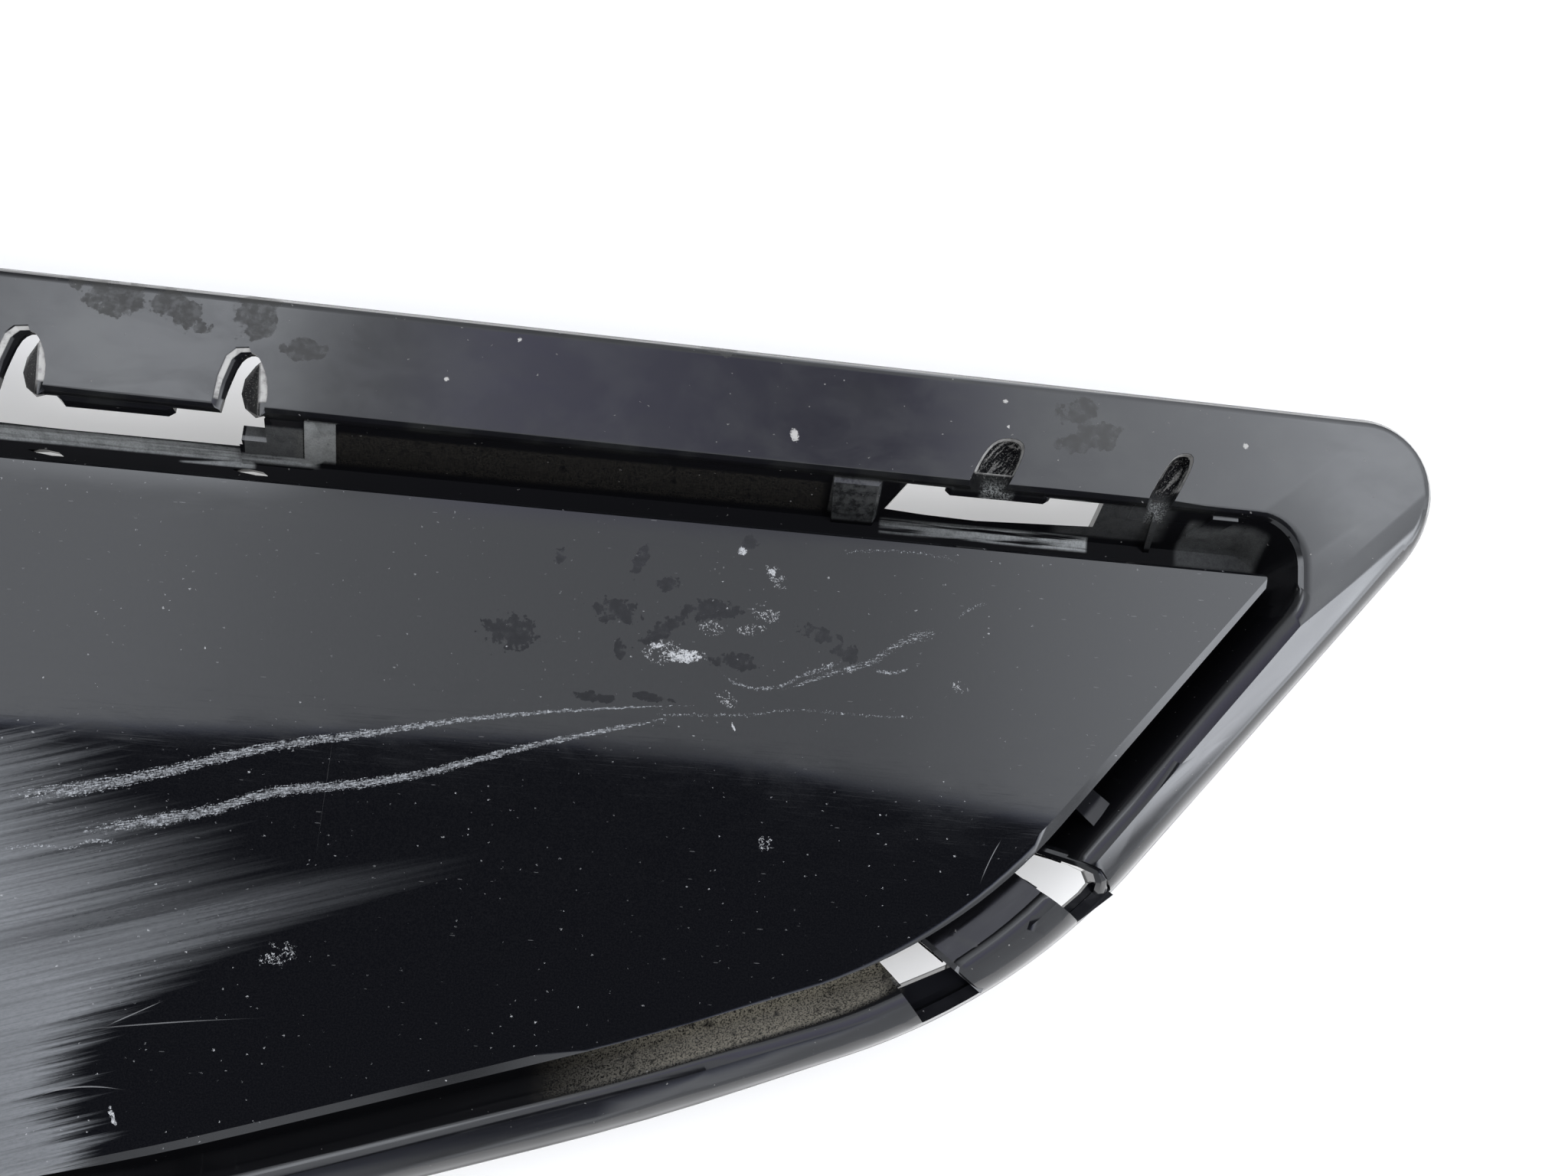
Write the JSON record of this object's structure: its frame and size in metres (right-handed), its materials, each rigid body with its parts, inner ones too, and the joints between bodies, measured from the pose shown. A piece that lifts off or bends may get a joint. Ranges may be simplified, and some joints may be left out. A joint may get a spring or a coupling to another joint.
{
  "type": "vehicle exterior trim panel",
  "caption": "Gloss black clip-in cover panel for a vehicle opening: a raised blanking panel in a channelled frame with a wide top flange, snap tongues, screws and rear spring clips.",
  "frame": {"origin": "middle of the footprint, on the plane that the lowest spring clips touch", "axes": "+Z out of the show face, +X along the straight top edge towards the pointed end, +Y across the part towards the wide top flange"},
  "size_m": [0.443, 0.234, 0.0326],
  "materials": {
    "carrier_tray": "moulded gloss black, handled and dusty in the channel",
    "gloss_panel": "high gloss black with fine scratches",
    "screw": "zinc plated",
    "clip": "dark phosphated spring steel",
    "seal": "closed-cell foam rubber"
  },
  "bodies": {
    "root": {"carrier_tray": "carrier_tray", "gloss_panel": "gloss_panel", "screw_1": "screw", "screw_2": "screw", "screw_3": "screw", "screw_4": "screw", "screw_5": "screw", "screw_6": "screw", "screw_7": "screw", "screw_8": "screw", "clip_1": "clip", "clip_2": "clip", "clip_3": "clip", "clip_4": "clip", "clip_5": "clip", "clip_6": "clip", "clip_7": "clip", "clip_8": "clip", "seal_left": "seal", "seal_right": "seal"}
  },
  "joints": []
}
